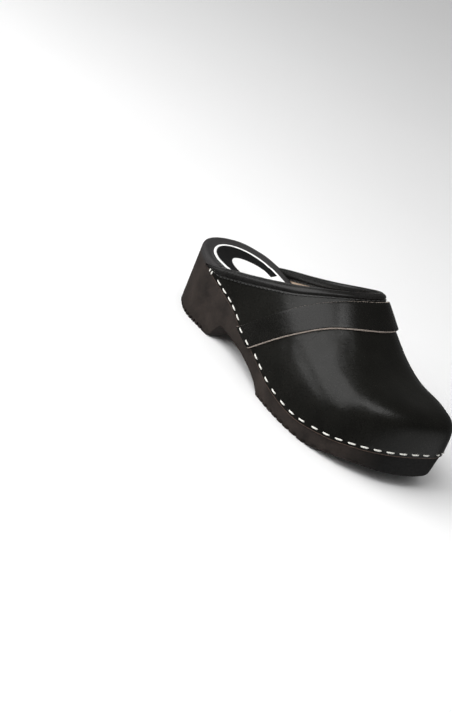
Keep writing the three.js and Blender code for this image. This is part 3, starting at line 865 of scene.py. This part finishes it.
def edge_on_line(line_at, start):
    """Where the middle of the leather meets a line of the side view, from the rear tip to the crest."""

    def middle(side, t, angle):
        return off_skin(side, t, angle, -LEATHER / 2)

    def above(points):
        return points[..., 2] - line_at(points[..., 0])

    begin = float(station_at(start))
    end = float(crossing(lambda t: -above(middle(OUTER, t, QUARTER)), begin, float(station_at(FAN_START))))

    def at(side, shares):
        t = mix(begin, end, np.sin(np.clip(shares, 0, 1) * QUARTER))
        angle = crossing(lambda a: above(middle(side, t, a)), np.zeros(t.shape), np.full(t.shape, QUARTER))
        return middle(side, t, np.where(shares >= 1, QUARTER, angle))

    return at


leather_edge = edge_on_line(leather_top_at, LEATHER_FROM)
top_edge = edge_on_line(top_line_at, LEATHER_FROM)


def roll_frames(side, shares):
    low = leather_edge(side, shares)
    up = top_edge(side, shares) - low
    height = np.linalg.norm(up, axis=1)
    up = unit(up)
    along = unit(np.gradient(low, axis=0)) * -side
    slope = (leather_top_at(low[:, 0] + 1) - leather_top_at(low[:, 0] - 1)) / 2
    cut_normal = unit(np.stack([-slope, np.zeros(len(slope)), np.ones(len(slope))], axis=1))
    out = unit(np.cross(along, cut_normal))
    return low, up, out, height


def roll_path():
    """Frames along the whole roll, from the outer rear tip over the throat to the inner one."""
    shares = np.linspace(0, 1, ROLL_STEPS // 2 + 1)
    outer = roll_frames(OUTER, shares)
    inner = roll_frames(INNER, shares)
    joined = [np.concatenate([a, b[::-1][1:]]) for a, b in zip(outer, inner)]
    low, up, out, height = joined
    top = ROLL_STEPS // 2
    for vectors in (up, out):
        vectors[top] = unit(vectors[top - 1] + vectors[top + 1])
    return low, up, out, height


def roll_rings():
    low, up, out, height = roll_path()
    lengths = path_lengths(low)
    from_end = np.minimum(lengths, lengths[-1] - lengths)
    grown = smoothstep(from_end / ROLL_GROWS)
    thick = ROLL_THICKNESS / 2 * mix(ROLL_THIN_END, 1, grown)
    shift = (thick - LEATHER / 2) * (1 - grown) * 0.6
    pucker = 0.5 + 0.5 * np.cos(2 * math.pi * lengths / SEAM_PITCH)
    soft = np.sin(lengths / 5.3) * np.sin(lengths / 8.7 + 1.0)
    rings = []
    for flip in (1, -1):
        profile = ROLL_PROFILE if flip == 1 else ROLL_PROFILE[::-1]
        for across, rise, below in profile:
            near_seam = math.exp(-((rise - PUCKER_AT) / PUCKER_REACH) ** 2)
            swell = 1 - PUCKER * pucker * near_seam + ROLL_UNEVEN * soft * (1 - near_seam)
            half = np.maximum(thick * across * swell, LEATHER / 2 + 0.12)
            lifted = rise * height + below * mix(0.4, 1, grown)
            rings.append(low + up * lifted[:, None] + out * (shift + flip * half)[:, None])
    slot = LEATHER / 2 + 0.03
    for flip, drop in ((-1, FLANGE_DEEP), (-1, SLOT_TOP), (1, SLOT_TOP), (1, FLANGE_DEEP)):
        lifted = -drop * mix(0.4, 1, grown)
        rings.append(low + up * lifted[:, None] + out * flip * slot)
    return np.stack(rings, axis=1)


def make_roll():
    rings = roll_rings()
    parts = [sheet(rings, close_columns=True), fan(rings[0]), fan(rings[-1])]
    piece = add_piece("collar_roll", make_mesh("collar_roll", parts), (SOFT_LEATHER,), 60)
    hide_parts("collar")
    return piece


# Thread

THREAD_SIDES = 8
THREAD_STEPS = 9


def capsule(points, out, width, thickness):
    """A stitch: a flattened tube along points, round at both ends."""
    along = unit(np.gradient(points, axis=0))
    across = unit(np.cross(along, out))
    share = np.linspace(-1, 1, len(points))
    girth = np.sqrt(np.maximum(0.0, 1 - np.abs(share) ** 3.5))
    turns = np.arange(THREAD_SIDES) / THREAD_SIDES * 2 * math.pi
    rings = []
    for i in range(1, len(points) - 1):
        side = across[i] * width / 2 * girth[i]
        rise = out[i] * thickness / 2 * girth[i]
        rings.append([points[i] + side * math.cos(a) + rise * math.sin(a) for a in turns])
    rings = np.array(rings)
    tube = sheet(rings, close_columns=True)
    return [tube, fan(rings[0], tip=points[0]), fan(rings[-1], tip=points[-1])]


def surface_stitch(first, last):
    """A stitch over the leather or the strap between two holes, bowed and sunk at both ends."""
    side = first[0]
    share = np.linspace(0, 1, THREAD_STEPS)
    t = mix(first[1], last[1], share)
    angle = mix(first[2], last[2], share)
    bow = 1 - np.abs(2 * share - 1) ** 4
    points = off_skin(side, t, angle, mix(-STITCH_SUNK, STITCH_LIFT, bow) + over_strap(side, t, angle))
    return capsule(points, skin_normal(side, t, angle), STITCH_WIDTH, STITCH_HEIGHT)


def make_stitches():
    parts = []
    for ends in STITCHES + TACKS:
        parts += surface_stitch(*ends)
    piece = add_piece("white_stitches", make_mesh("white_stitches", parts), (WHITE_THREAD,))
    return piece


def along_path(places, lengths, vectors):
    return np.stack([np.interp(places, lengths, vectors[:, k]) for k in range(3)], axis=1)


def make_seam():
    """Black stitches under the roll, on its outside and its inside."""
    low, up, out, _ = roll_path()
    lengths = path_lengths(low)
    middles = np.arange(SEAM_PITCH * 3, lengths[-1] - SEAM_PITCH * 3, SEAM_PITCH)
    parts = []
    for middle in middles:
        places = middle + np.linspace(-0.5, 0.5, THREAD_STEPS) * SEAM_STITCH
        share = np.linspace(-1, 1, THREAD_STEPS)
        bow = mix(-0.25, SEAM_LIFT, 1 - share**4)
        foot, rise, outward = (along_path(places, lengths, vectors) for vectors in (low, up, out))
        for flip in (1, -1):
            normals = unit(outward) * flip
            points = foot + rise * SEAM_UP + normals * (LEATHER / 2 + SEAM_OUT + bow)[:, None]
            parts += capsule(points, normals, SEAM_WIDTH, SEAM_WIDTH * 0.8)
    piece = add_piece("collar_seam", make_mesh("collar_seam", parts), (BLACK_THREAD_AND_HIGHLIGHT,))
    return piece


# Strap

STRAP_ROWS = 90
STRAP_CROWN = 0.12  # how much its middle bulges over its thickness
STRAP_EDGE = (
    # across in mm from the edge, out from the skin in mm
    (0.00, 0.25),
    (0.00, 1.45),
    (0.24, 1.98),
    (0.60, 2.16),
)


def strap_section(side, angles):
    """Points across the strap, from its rear edge under it, to the front edge and back over it."""
    share = np.sin(angles)
    rear = mix(STRAP_FOOT, throat + STRAP_FROM_THROAT, share)
    width = mix(STRAP_WIDTH_LOW, STRAP_WIDTH_TOP, share)
    inner = np.linspace(0.06, 0.94, 12)
    rows = []
    for inset, out in STRAP_EDGE:
        rows.append((rear + inset, out))
    for part in inner:
        rows.append((rear + width * part, STRAP_THICKNESS + STRAP_CROWN * math.sin(part * math.pi)))
    for inset, out in reversed(STRAP_EDGE):
        rows.append((rear + width - inset, out))
    places = []
    for x, out in rows:
        places.append(off_skin(side, station_at(x), angles, out))
    return np.stack(places, axis=1)


def make_strap():
    angles = np.linspace(0, 1, STRAP_ROWS) * QUARTER
    outer = strap_section(OUTER, angles)
    inner = strap_section(INNER, angles[:-1])[::-1]
    rings = np.concatenate([outer, inner])
    edge = len(STRAP_EDGE) - 1
    last = rings.shape[1] - 1
    parts = [
        # rear edge and its rounded top bevel: the cut edge's own tan, and on the bevel a painted highlight
        sheet(rings[:, :3], 1),
        sheet(rings[:, 2 : last - edge + 2], 0),
        sheet(rings[:, last - edge + 1 :], 1),
        sheet(rings[:, [last, 0]], 1),
        fan(rings[0], 1),
        fan(rings[-1], 1),
    ]
    piece = add_piece("instep_strap", make_mesh("instep_strap", parts), (STRAP_LEATHER, TAN_EDGE_AND_HIGHLIGHT), 45)
    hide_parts("strap")
    return piece


# Sole

SOLE_STEPS = 170
RECESS_FROM = 29.0
RECESS_TO = 45.5
RECESS_LOW = 43.7
RECESS_CLIMB = 0.314
RECESS_STEP = 0.4
BURR = 0.28
BURR_GROWS = 3.0
BURR_FADES = 6.0
TOE_SHARE = 0.265  # front part of the sole where its wall leans and its edge is rounder
SEAT_SHARES = (0.985, 0.96, 0.93, 0.89, 0.84, 0.78, 0.7, 0.6, 0.48, 0.34, 0.17)


def footbed_at(x, share):
    full = (FOOTBED_ROUND * BALL_WIDTH) ** 2
    inside = (1 - share * share) * np.minimum(1, squared_width[OUTER](x) / full)
    from_rim = 1 - np.minimum(1, inside / RIM_SHARE)
    return rim_at(x) - HEEL_CUP * inside - RIM_ROUND * (1 - np.sqrt(1 - from_rim * from_rim))


def rim_wall(side, t, z, start, proud=0.0):
    """Side of the heel up to a station, then the back of the recess that takes the leather."""
    open_x, open_y = outline_point(side, t, proud - LEDGE_AT_HEEL)
    recess = np.clip((t - start) / RECESS_STEP, 0, 1)
    x = outline_point(side, t, OVERHANG)[0]
    angle = angle_at(side, np.minimum(x, LENGTH), z)
    inside = off_skin(side, t, angle, -(LEATHER + GAP))
    wall_x = np.where(recess == 0, open_x, mix(open_x, inside[..., 0], recess))
    wall_y = np.where(recess == 0, open_y, mix(open_y, inside[..., 1], recess))
    return np.stack([wall_x, wall_y, np.broadcast_to(z, np.shape(t))], axis=-1)


def rim_foot(side, t):
    return rim_wall(side, t, rim_at(t) - RIM_ROUND, RECESS_TO)


def footbed_middle(t):
    middle = (rim_foot(OUTER, t) + rim_foot(INNER, t)) / 2
    middle[..., 2] = footbed_at(t, 0.0)
    return middle


def recess_rows(side, t):
    """From the ledge under the leather up to the rim. The upper edge of the recess climbs from the
    rear tip of the leather to the rim, with a small burr along it."""
    start = RECESS_FROM + RECESS_STEP * 2
    back = rim_wall(side, t, feather_at(t) - GAP, start)
    back[..., 2] = feather_at(back[..., 0]) - GAP
    ledge = back[..., 2]
    foot = rim_at(t) - RIM_ROUND
    edge = np.clip(RECESS_LOW + RECESS_CLIMB * (t - RECESS_FROM), ledge, foot)
    faded = smoothstep((t - RECESS_TO + BURR_FADES) / BURR_FADES)
    burr = BURR * smoothstep((t - RECESS_FROM) / BURR_GROWS) * (1 - faded)
    rows = [back]
    for share in (0.5, 1.0):
        rows.append(rim_wall(side, t, mix(ledge, edge, share), start))
    for above, part in ((0.0, 0.5), (0.2, 1.0), (0.55, 0.3), (0.9, 0.0)):
        rows.append(rim_wall(side, t, np.minimum(edge + above, foot), RECESS_TO, burr * part))
    rows.append(rim_wall(side, t, np.minimum(edge + mix(0.9, foot - edge, 0.5), foot), RECESS_TO))
    return rows


def sole_half(side, t):
    toe = np.clip((t / LENGTH - 1 + TOE_SHARE) / TOE_SHARE, 0, 1) ** 2
    draft = mix(SIDE_DRAFT, TOE_DRAFT, toe)
    rounding = mix(EDGE_ROUND, TOE_ROUND, toe)
    low = underside_at(t)
    ledge = feather_at(t) - GAP

    def at(out, z):
        x, y = outline_point(side, t, out)
        return np.stack([x, y, z], axis=-1)

    foot = at(-draft - rounding, low)
    rows = []
    middle = middle_at(t)
    for share in (0.25, 0.5, 0.75):
        row = foot.copy()
        row[..., 1] = mix(middle, foot[..., 1], share)
        rows.append(row)
    rows.append(foot)
    for turn in np.linspace(0, 1, 6)[1:]:
        bend = turn * QUARTER
        rows.append(at(-draft - rounding * (1 - math.sin(bend)), low + rounding * (1 - math.cos(bend))))
    lowest = low + rounding
    for share in (0.2, 0.4, 0.6, 0.8, 1.0):
        rows.append(at(-draft * (1 - share), mix(lowest, ledge, share)))
    rows += recess_rows(side, t)
    rim = rim_foot(side, t)
    rows.append(rim)
    seat_middle = footbed_middle(t)
    for share in SEAT_SHARES:
        y = mix(seat_middle[..., 1], rim[..., 1], share)
        z = footbed_at(t, share)
        rows.append(np.stack([rim[..., 0], y, z], axis=-1))
    return rows


def sole_stations():
    even = LENGTH * (1 - np.cos(np.linspace(0, 1, SOLE_STEPS) * math.pi)) / 2
    steps = [row[0] * LENGTH for row in UNDERSIDE[1:9]]
    steps += [RECESS_FROM + RECESS_STEP * i for i in range(4)]
    steps += [RECESS_TO - 1.0, RECESS_TO, RECESS_TO + RECESS_STEP]
    apart = LENGTH / SOLE_STEPS / 4
    kept = [x for x in even if all(abs(x - step) > apart for step in steps)]
    return np.array(sorted([*kept, *steps]))


def sole_rings():
    t = sole_stations()
    outer = sole_half(OUTER, t)
    inner = sole_half(INNER, t)
    centre = np.stack([outer[0][..., 0], middle_at(t), underside_at(t)], axis=-1)
    return np.stack([centre, *outer, footbed_middle(t), *inner[::-1]], axis=1)


def extruded(near, far):
    """Solid between two matching outlines."""
    count = len(near)
    sides = [[i, (i + 1) % count, count + (i + 1) % count, count + i] for i in range(count)]
    caps = [list(range(count)), list(range(2 * count - 1, count - 1, -1))]
    return np.array([*near, *far]), sides + caps, 0


def prism(outline, low, high):
    """Upright prism over an outline of x and y."""
    return extruded([(x, y, low) for x, y in outline], [(x, y, high) for x, y in outline])


def cutter(name, prisms):
    """Object from separate prisms."""
    return new_object(name, make_mesh(name, prisms, merge=0))


def bounded(target, other, operation):
    """Boolean of two objects, applied to the first; the second is removed."""
    modifier = target.modifiers.new(operation, "BOOLEAN")
    modifier.operation = operation
    modifier.object = other
    modifier.solver = "MANIFOLD"
    bpy.context.view_layer.update()
    graph = bpy.context.evaluated_depsgraph_get()
    result = bpy.data.meshes.new_from_object(target.evaluated_get(graph))
    target.modifiers.remove(modifier)
    target.data = result
    bpy.data.objects.remove(other)


def turned_box(centre, half_length, half_width, angle):
    along = np.array([math.cos(angle), math.sin(angle)])
    across = np.array([-along[1], along[0]])
    corners = ((-1, -1), (1, -1), (1, 1), (-1, 1))
    return [tuple(centre + along * half_length * a + across * half_width * b) for a, b in corners]


def groove_strips(side):
    angle = QUARTER + side * QUARTER / 2
    along = np.array([math.cos(angle), math.sin(angle)])
    across = np.array([-along[1], along[0]])
    corner = np.array([TREAD_TO, side * BALL_WIDTH / 2])
    count = math.ceil((TREAD_TO - TREAD_FROM + BALL_WIDTH) / math.sqrt(2) / TREAD_PITCH)
    strips = []
    for i in range(count):
        centre = corner + across * (i + 0.5) * TREAD_PITCH
        strips.append(prism(turned_box(centre, LENGTH / 2, TREAD_GROOVE / 2, angle), -30, 40))
    return strips


def tread_zone(side):
    halves = math.ceil((TREAD_TO - TREAD_FROM) / ZIGZAG_LENGTH * 2)
    line = []
    for i in range(halves + 1):
        x = min(TREAD_TO, TREAD_FROM + i * ZIGZAG_LENGTH / 2)
        line.append((x, ZIGZAG_ACROSS + (1 if i % 2 else -1) * ZIGZAG_SWING))
    return prism([*line, (TREAD_TO, side * BALL_WIDTH), (TREAD_FROM, side * BALL_WIDTH)], -25, 35)


def plain_patch():
    arc = QUARTER + np.linspace(0, 1, 33) * math.pi
    xs = PATCH_AT + PATCH_RADIUS * np.cos(arc)
    ys = PATCH_ACROSS + PATCH_RADIUS * np.sin(arc)
    return prism(list(zip(xs, ys)), -28, 38)


def heel_strips():
    count = math.floor((HEEL_TO - HEEL_FROM) / HEEL_PITCH)
    strips = []
    for i in range(count + 1):
        centre = np.array([HEEL_FROM + i * HEEL_PITCH, 0.0])
        strips.append(prism(turned_box(centre, HEEL_GROOVE / 2, BALL_WIDTH, 0), -30, GROOVE_DEPTH))
    return strips


def toe_strips():
    """Fine ribs across the underside of the toe."""
    strips = []
    for x in np.arange(TOE_RIBS_FROM, LENGTH, TOE_RIB_PITCH):
        centre = np.array([x, 0.0])
        outline = turned_box(centre, TOE_RIB_GROOVE / 2, BALL_WIDTH, 0)
        strips.append(prism(outline, -30, float(underside_at(x)) + TOE_RIB_DEPTH))
    return strips


def groove_slab():
    """Slab under a surface that lies a groove's depth above the underside."""
    xs = np.linspace(0, LENGTH, 90)
    tops = underside_at(xs) + GROOVE_DEPTH
    side_view = [*zip(xs, tops), (LENGTH, -25), (0, -25)]
    return extruded([(x, -BALL_WIDTH, z) for x, z in side_view], [(x, BALL_WIDTH, z) for x, z in side_view])


def tread_cutter():
    """Grooves under both halves of the forefoot, ready to be cut from the sole."""
    halves = []
    for side in (OUTER, INNER):
        half = cutter("strips", groove_strips(side))
        bounded(half, cutter("zone", [tread_zone(side)]), "INTERSECT")
        bounded(half, cutter("patch", [plain_patch()]), "DIFFERENCE")
        bounded(half, cutter("slab", [groove_slab()]), "INTERSECT")
        halves.append(half)
    return halves


def make_sole():
    rings = sole_rings()
    mesh = make_mesh("sole_body", [sheet(rings, close_columns=True)], merge=0.01)
    piece = add_piece("sole_body", mesh, ())
    for half in tread_cutter():
        bounded(piece, half, "DIFFERENCE")
    bounded(piece, cutter("heel_strips", heel_strips()), "DIFFERENCE")
    bounded(piece, cutter("toe_strips", toe_strips()), "DIFFERENCE")
    piece.data.materials.clear()
    piece.data.materials.append(MOULDED)
    piece.data.polygons.foreach_set("use_smooth", [True] * len(piece.data.polygons))
    piece.data.set_sharp_from_angle(angle=math.radians(38))
    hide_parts("sole")
    return piece


# Label on the heel seat

LABEL_RISE = 1.2
LABEL_POINTS = 60
BAND_END = 56.2
LABEL_EDGE = (LABEL_FROM + 0.4, LABEL_TO, LABEL_END, LABEL_INSET, LABEL_INSET + 0.7)
BAND_OUTSIDE = (13.6, LABEL_TO - 1.7, 26.3, 10.5, 11.3)
BAND_INSIDE = (28.2, LABEL_TO - 16.4, 22.0, 20.6, 17.4)


def label_curve(start, end, round_end, outer_inset, inner_inset):
    """Closed line on the label: inside the outline of the sole, and round at both ends."""
    share = np.linspace(0, 1, LABEL_POINTS) * QUARTER
    behind = mix(start, BAND_END, 1 - np.cos(share))
    ahead = mix(BAND_END, end, np.sin(share))
    x = np.concatenate([behind, ahead[1:]])
    from_end = np.clip(np.minimum(x - start, end - x) / round_end, 0, 1)
    bulge = np.sqrt(from_end * (2 - from_end))
    flank = np.clip(x, start + round_end, end - round_end)
    outer = (outline_point(OUTER, flank, 0)[1] + outer_inset) * bulge
    inner = (outline_point(INNER, flank, 0)[1] - inner_inset) * bulge
    return np.concatenate([np.stack([x, outer], axis=1), np.stack([x, inner], axis=1)[::-1][1:-1]])


def on_footbed(points, rise):
    x = points[:, 0]
    middle = footbed_middle(x)
    outside = points[:, 1] < middle[:, 1]
    wall = np.where(outside, rim_foot(OUTER, x)[:, 1], rim_foot(INNER, x)[:, 1])
    share = np.clip((points[:, 1] - middle[:, 1]) / (wall - middle[:, 1]), 0, 1)
    return np.column_stack([points, footbed_at(x, share) + rise])


def make_label():
    edge, outside, inside = (label_curve(*row) for row in (LABEL_EDGE, BAND_OUTSIDE, BAND_INSIDE))
    centre = np.array([mix(BAND_INSIDE[0], BAND_INSIDE[1], 0.5), 0.0])
    rings = [on_footbed(edge, 0.1), on_footbed(edge, LABEL_RISE - 0.3)]
    for share in (0.12, 0.4, 1.0):
        rings.append(on_footbed(mix(edge, outside, share), LABEL_RISE))
    first_in_band = len(rings) - 1
    for share in (0.25, 0.5, 0.75, 1.0):
        rings.append(on_footbed(mix(outside, inside, share), LABEL_RISE))
    last_in_band = len(rings) - 1
    for share in (0.8, 0.6, 0.4, 0.2, 0.05):
        rings.append(on_footbed(mix(centre, inside, share), LABEL_RISE))
    points, quads, _ = sheet(np.stack(rings), close_columns=True)
    row = np.repeat(np.arange(len(rings) - 1), len(edge))
    band = (row >= first_in_band) & (row < last_in_band) & (points[quads].mean(axis=1)[:, 0] < BAND_END)
    parts = [(points, quads[~band], 0), (points, quads[band], 1), fan(rings[-1]), fan(rings[0])]
    piece = add_piece("seat_label", make_mesh("seat_label", parts), (WHITE_PRINT, BLACK_PRINT), 60)
    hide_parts("heel_label")
    return piece


make_upper()
make_roll()
make_strap()
make_stitches()
make_seam()
make_sole()
make_label()


# Floor, lights and camera

CAMERA_AZIMUTH = 41.69
CAMERA_ELEVATION = 24.71
CAMERA_ROLL = 23.50
CAMERA_DISTANCE = 0.98955
CAMERA_TARGET = (0.13268, -0.22721, 0.12003)
CAMERA_LENS = 88.34
LIT_POINT = (0.02, 0, 0.04)


def turn_axes(azimuth, elevation, roll):
    a, e, r = (math.radians(value) for value in (azimuth, elevation, roll))
    back = Vector((math.sin(a) * math.cos(e), -math.cos(a) * math.cos(e), math.sin(e)))
    level = Vector((math.cos(a), math.sin(a), 0))
    upright = back.cross(level)
    right = level * math.cos(r) + upright * math.sin(r)
    up = -level * math.sin(r) + upright * math.cos(r)
    return right, up, back


def make_camera():
    data = bpy.data.cameras.new("camera")
    data.lens = CAMERA_LENS
    data.sensor_width = 36
    data.clip_start = 0.05
    data.clip_end = 50
    camera = new_object("camera", data)
    right, up, back = turn_axes(CAMERA_AZIMUTH, CAMERA_ELEVATION, CAMERA_ROLL)
    matrix = Matrix((right, up, back)).transposed().to_4x4()
    matrix.translation = Vector(CAMERA_TARGET) + back * CAMERA_DISTANCE
    camera.matrix_world = matrix
    bpy.context.scene.camera = camera


def make_floor():
    mesh = bpy.data.meshes.new("floor")
    disc = bmesh.new()
    bmesh.ops.create_circle(disc, cap_ends=True, segments=96, radius=12)
    disc.to_mesh(mesh)
    disc.free()
    floor = new_object("floor", mesh)
    mesh.materials.append(floor_material("pale_floor"))
    floor.visible_glossy = False


def area_light(name, direction, distance, width, height, watts, glossy=True):
    """Softbox that faces the clog from a direction; glossy tells whether the leather mirrors it."""
    data = bpy.data.lights.new(name, "AREA")
    data.shape = "RECTANGLE"
    data.size = width
    data.size_y = height
    data.energy = watts
    light = new_object(name, data)
    toward = Vector(direction).normalized()
    light.visible_glossy = glossy
    light.location = Vector(LIT_POINT) + toward * distance
    light.rotation_euler = toward.to_track_quat("Z", "Y").to_euler()


def make_world(base, glow, direction):
    """Even pale surroundings, with a soft glow from one direction."""
    world = bpy.data.worlds.new("studio")
    world.use_nodes = True
    tree = world.node_tree
    background = tree.nodes["Background"]
    background.inputs["Color"].default_value = (1.0, 1.0, 1.0, 1.0)
    place = tree.nodes.new("ShaderNodeTexCoord")
    aim = tree.nodes.new("ShaderNodeVectorMath")
    aim.operation = "DOT_PRODUCT"
    aim.inputs[1].default_value = Vector(direction).normalized()
    tree.links.new(place.outputs["Generated"], aim.inputs[0])
    fade = tree.nodes.new("ShaderNodeMapRange")
    fade.interpolation_type = "SMOOTHSTEP"
    for name, value in (("From Min", 0.55), ("From Max", 0.95), ("To Min", base), ("To Max", glow)):
        fade.inputs[name].default_value = value
    tree.links.new(aim.outputs["Value"], fade.inputs["Value"])
    tree.links.new(fade.outputs["Result"], background.inputs["Strength"])
    bpy.context.scene.world = world


make_floor()
make_camera()
make_world(0.15, 1.05, (0.85, 0.1, -0.5))
area_light("softbox", (-0.48, -0.68, 0.55), 1.1, 1.25, 1.0, 14.5)
area_light("top_box", (0.16, -0.46, 0.87), 1.1, 0.45, 0.5, 3.6)
area_light("ceiling", (0.10, 0.10, 1.0), 2.4, 6.0, 6.0, 62.0, glossy=False)
bpy.context.scene.view_settings.view_transform = "Standard"
